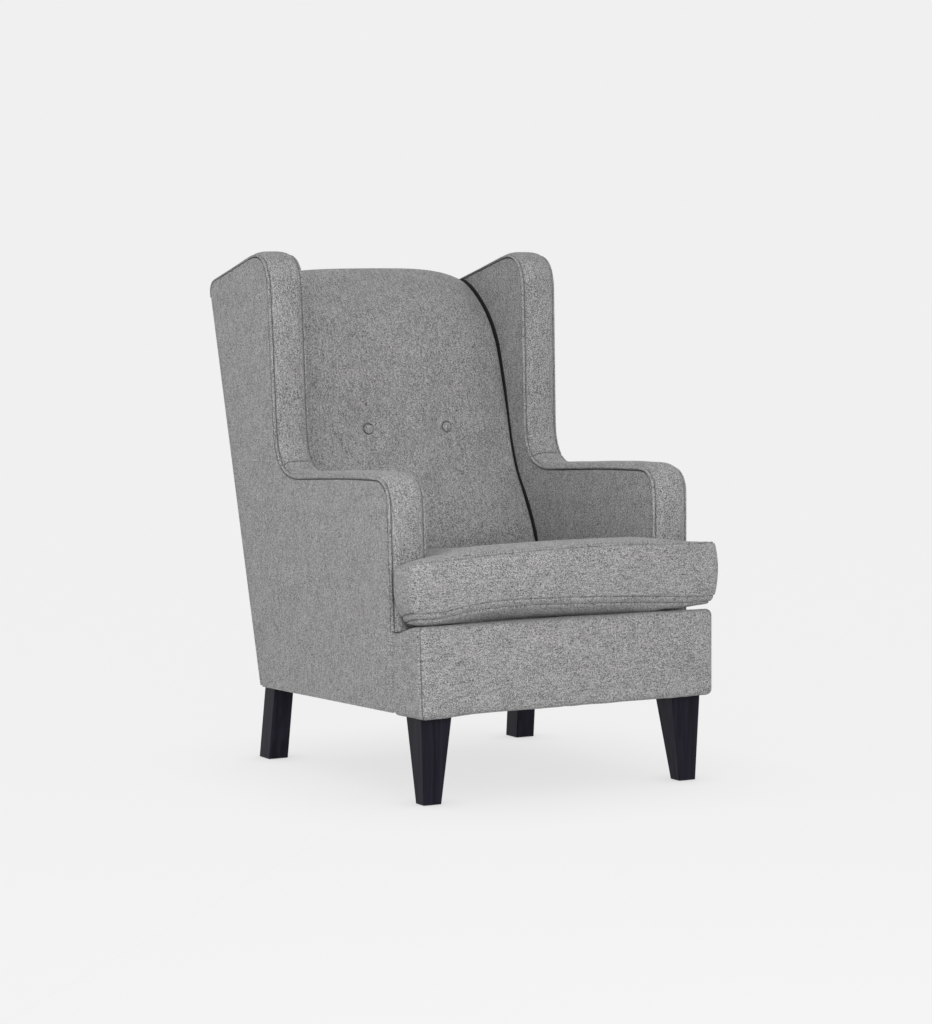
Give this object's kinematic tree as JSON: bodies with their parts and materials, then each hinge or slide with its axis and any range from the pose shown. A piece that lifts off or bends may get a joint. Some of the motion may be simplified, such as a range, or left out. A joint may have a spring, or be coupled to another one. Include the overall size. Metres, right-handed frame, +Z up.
{
  "type": "wingback armchair",
  "caption": "High-backed wing armchair with box arms, a loose T-shaped seat cushion, a button-tufted tight back and tapered wooden legs.",
  "frame": {"origin": "on the floor, under the middle of the part's bounding box", "axes": "+Z up; the chair faces -Y; +X is towards the sitter's left arm"},
  "size_m": [0.7098, 0.9634, 1.0834],
  "materials": {
    "upholstery": "mid-grey plain-weave melange",
    "hardwood": "sawn, unfinished",
    "leg_wood": "near-black stain, satin",
    "steel": "drawn",
    "webbing": "woven, black",
    "glide_plastic": "moulded, black"
  },
  "bodies": {
    "chair": {"seat_front_rail": "hardwood", "seat_back_rail": "hardwood", "seat_side_rail_left": "hardwood", "seat_side_rail_right": "hardwood", "front_corner_block_left": "hardwood", "front_corner_block_right": "hardwood", "rear_corner_block_left": "hardwood", "rear_corner_block_right": "hardwood", "arm_front_post_left": "hardwood", "arm_front_post_right": "hardwood", "arm_rail_left": "hardwood", "arm_rail_right": "hardwood", "back_post_left": "hardwood", "back_post_right": "hardwood", "crest_rail": "hardwood", "lower_back_rail": "hardwood", "wing_board_left": "hardwood", "wing_board_right": "hardwood", "outer_side_panel_left": "upholstery", "outer_side_panel_right": "upholstery", "inner_side_panel_left": "upholstery", "inner_side_panel_right": "upholstery", "arm_band_left": "upholstery", "arm_band_right": "upholstery", "wing_band_left": "upholstery", "wing_band_right": "upholstery", "outside_back_panel": "upholstery", "front_apron": "upholstery", "seat_deck": "upholstery", "dust_cover": "webbing", "back_pad": "upholstery", "button_left": "upholstery", "button_right": "upholstery", "seat_spring_1": "steel", "seat_spring_2": "steel", "seat_spring_3": "steel", "seat_spring_4": "steel", "back_strap_1": "webbing", "back_strap_2": "webbing", "back_strap_3": "webbing", "back_strap_4": "webbing", "front_leg_left": "leg_wood", "front_leg_right": "leg_wood", "rear_leg_left": "leg_wood", "rear_leg_right": "leg_wood", "front_hanger_bolt_left": "steel", "front_hanger_bolt_right": "steel", "rear_hanger_bolt_left": "steel", "rear_hanger_bolt_right": "steel", "front_glide_left": "glide_plastic", "front_glide_right": "glide_plastic", "rear_glide_left": "glide_plastic", "rear_glide_right": "glide_plastic"},
    "seat_cushion": {"seat_cushion": "upholstery", "cushion_zip": "webbing"},
    "zip_slider": {"zip_slider": "steel"}
  },
  "joints": [
    {"name": "cushion_lift", "type": "slide", "parent": "chair", "child": "seat_cushion", "axis": [0, 0, 1], "range_m": [0, 0.78]},
    {"name": "zip_slide", "type": "slide", "parent": "seat_cushion", "child": "zip_slider", "axis": [1, 0, 0], "range_m": [-0.37, 0]}
  ]
}
